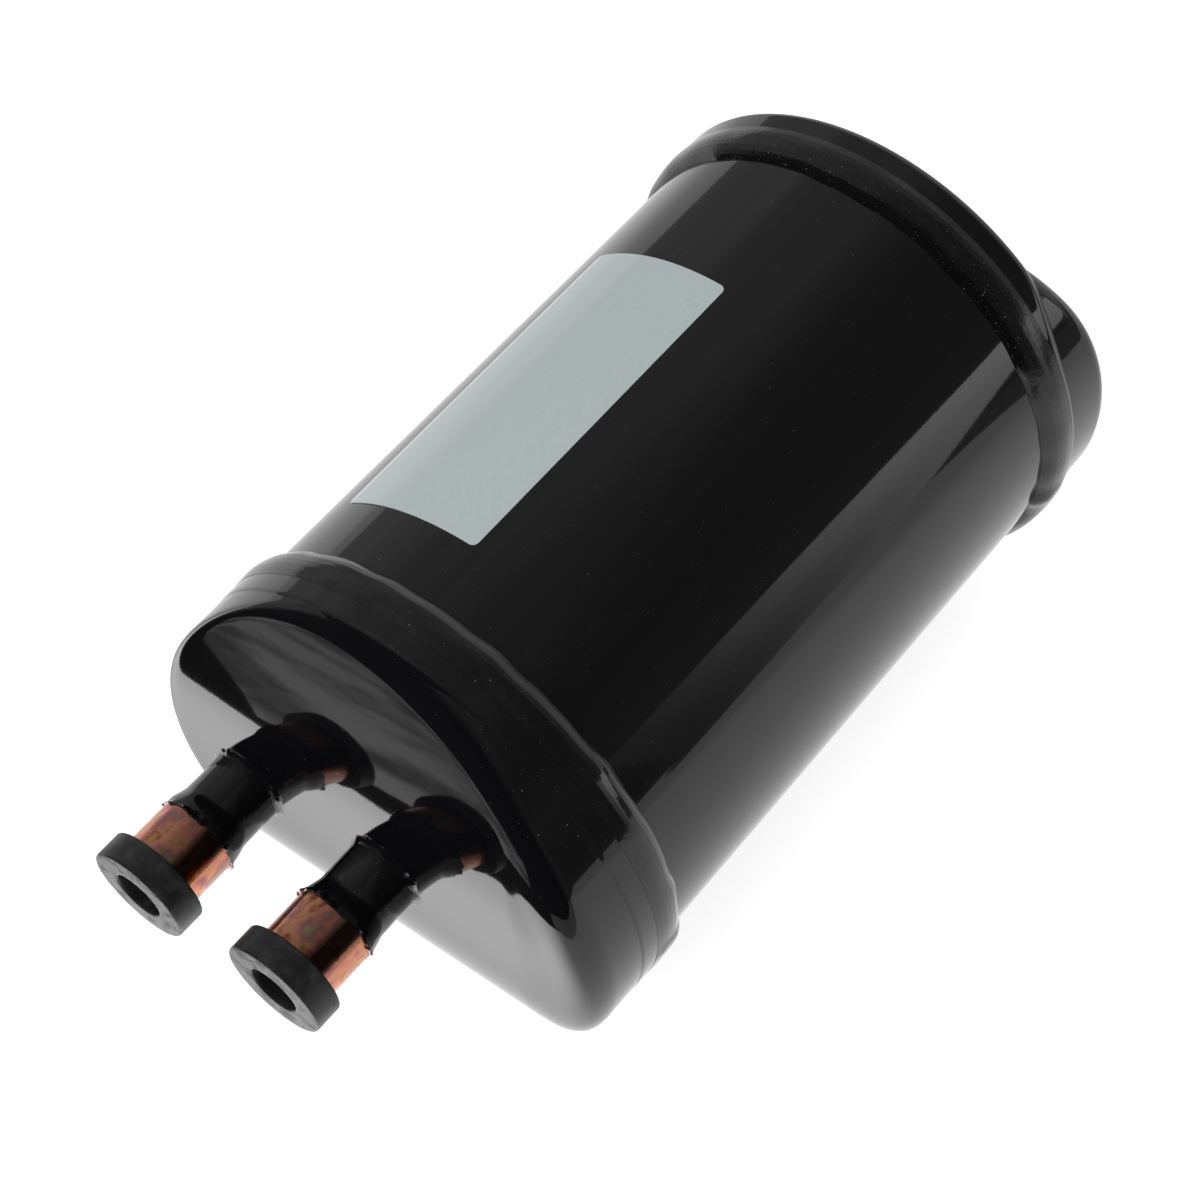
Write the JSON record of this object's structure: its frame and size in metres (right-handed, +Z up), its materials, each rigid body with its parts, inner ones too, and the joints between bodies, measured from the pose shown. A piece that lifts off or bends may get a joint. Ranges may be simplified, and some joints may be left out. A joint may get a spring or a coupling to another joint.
{
  "type": "suction line accumulator",
  "caption": "Upright welded steel vessel for a refrigeration suction line, with two copper socket connections on a crowned top head, an inner pick-up tube and a safety plug below.",
  "frame": {"origin": "on the vessel's axis at the underside of the safety plug", "axes": "+Z up the vessel's axis to its connections, +X along the line of the connections from outlet to inlet"},
  "size_m": [0.134, 0.134, 0.2649],
  "materials": {
    "black_paint": "gloss black paint on steel",
    "copper": "drawn copper, heat tinted where brazed",
    "brass": "turned brass",
    "bare_steel": "bare pressed steel",
    "plug_rubber": "matt black moulded rubber",
    "label_film": "printed film sticker",
    "fusible_alloy": "cast low-melting alloy"
  },
  "bodies": {
    "root": {"shell": "black_paint", "top_head": "black_paint", "bottom_head": "black_paint", "top_girth_weld": "black_paint", "bottom_girth_weld": "black_paint", "inlet_tube": "copper", "outlet_tube": "copper", "inlet_braze": "black_paint", "outlet_braze": "black_paint", "inlet_plug": "plug_rubber", "outlet_plug": "plug_rubber", "label": "label_film", "u_tube": "copper", "inlet_deflector": "copper", "metering_orifice": "brass", "oil_screen": "brass", "tube_bracket": "bare_steel", "fuse_boss": "black_paint", "fuse_boss_weld": "black_paint", "fuse_plug": "brass", "fuse_core": "fusible_alloy"}
  },
  "joints": []
}
